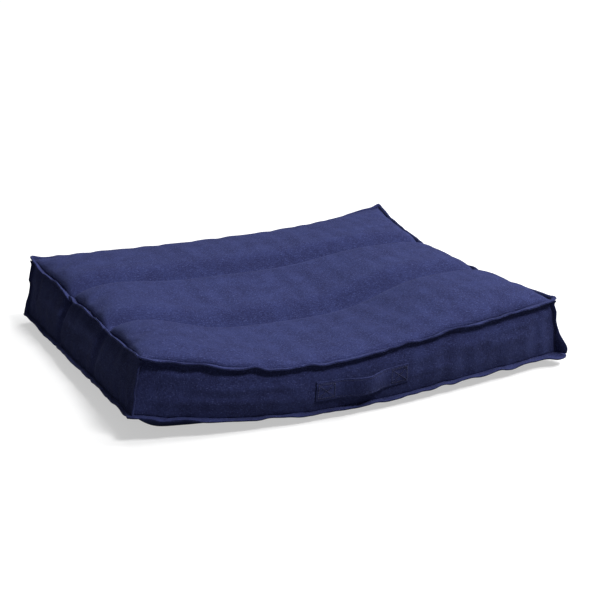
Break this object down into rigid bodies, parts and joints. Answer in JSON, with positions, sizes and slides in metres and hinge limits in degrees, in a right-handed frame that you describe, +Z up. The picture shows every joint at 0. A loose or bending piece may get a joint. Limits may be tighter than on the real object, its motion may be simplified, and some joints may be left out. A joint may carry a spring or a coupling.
{
  "type": "pet cushion bed",
  "caption": "Rectangular boxed cushion bed for a dog or cat, with raised flange seams, three soft fibre chambers, a zipped cover and a carry handle",
  "frame": {"origin": "on the floor, midway between the bed's furthest points left and right and front and back", "axes": "+X runs along the front to the right as seen from the front, +Y from the handle side to the zip side, +Z up"},
  "size_m": [0.9452, 0.8246, 0.1821],
  "materials": {
    "cover_cloth": "matte",
    "flange_cloth": "matte",
    "handle_cloth": "matte",
    "thread": "satin",
    "zip_tape": "matte",
    "zip_teeth": "satin",
    "zip_metal": "satin",
    "insert_cloth": "matte",
    "fibre": "matte"
  },
  "bodies": {
    "bed": {"top_panel": "cover_cloth", "bottom_panel": "cover_cloth", "front_gusset": "cover_cloth", "left_gusset": "cover_cloth", "right_gusset": "cover_cloth", "back_gusset_upper": "cover_cloth", "back_gusset_lower": "cover_cloth", "back_gusset_left_end": "cover_cloth", "back_gusset_right_end": "cover_cloth", "upper_flange": "flange_cloth", "lower_flange": "flange_cloth", "corner_flange_front_left": "flange_cloth", "corner_flange_front_right": "flange_cloth", "corner_flange_back_left": "flange_cloth", "corner_flange_back_right": "flange_cloth", "handle_left_end": "handle_cloth", "handle_right_end": "handle_cloth", "handle_left_stitching": "thread", "handle_right_stitching": "thread", "zip_upper_tape": "zip_tape", "zip_lower_tape": "zip_tape", "zip_upper_teeth": "zip_teeth", "zip_lower_teeth": "zip_teeth", "zip_stops": "zip_metal", "insert_top": "insert_cloth", "insert_bottom": "insert_cloth", "insert_band": "insert_cloth", "front_baffle": "insert_cloth", "back_baffle": "insert_cloth", "front_fill": "fibre", "middle_fill": "fibre", "back_fill": "fibre"},
    "slider": {"zip_slider": "zip_metal"},
    "pull": {"zip_pull": "zip_metal"},
    "grip": {"handle_grip": "handle_cloth"}
  },
  "joints": [
    {"name": "zip_slide", "type": "slide", "parent": "bed", "child": "slider", "axis": [-1, 0, 0], "range_m": [0, 0.67]},
    {"name": "zip_pull_turn", "type": "hinge", "parent": "slider", "child": "pull", "pos_m": [0.335, 0.40878, 0.076], "axis": [0, 0, 1], "range_deg": [0, 180]},
    {"name": "handle_lift", "type": "slide", "parent": "bed", "child": "grip", "axis": [0, -1, 0], "range_m": [0, 0.015]}
  ]
}
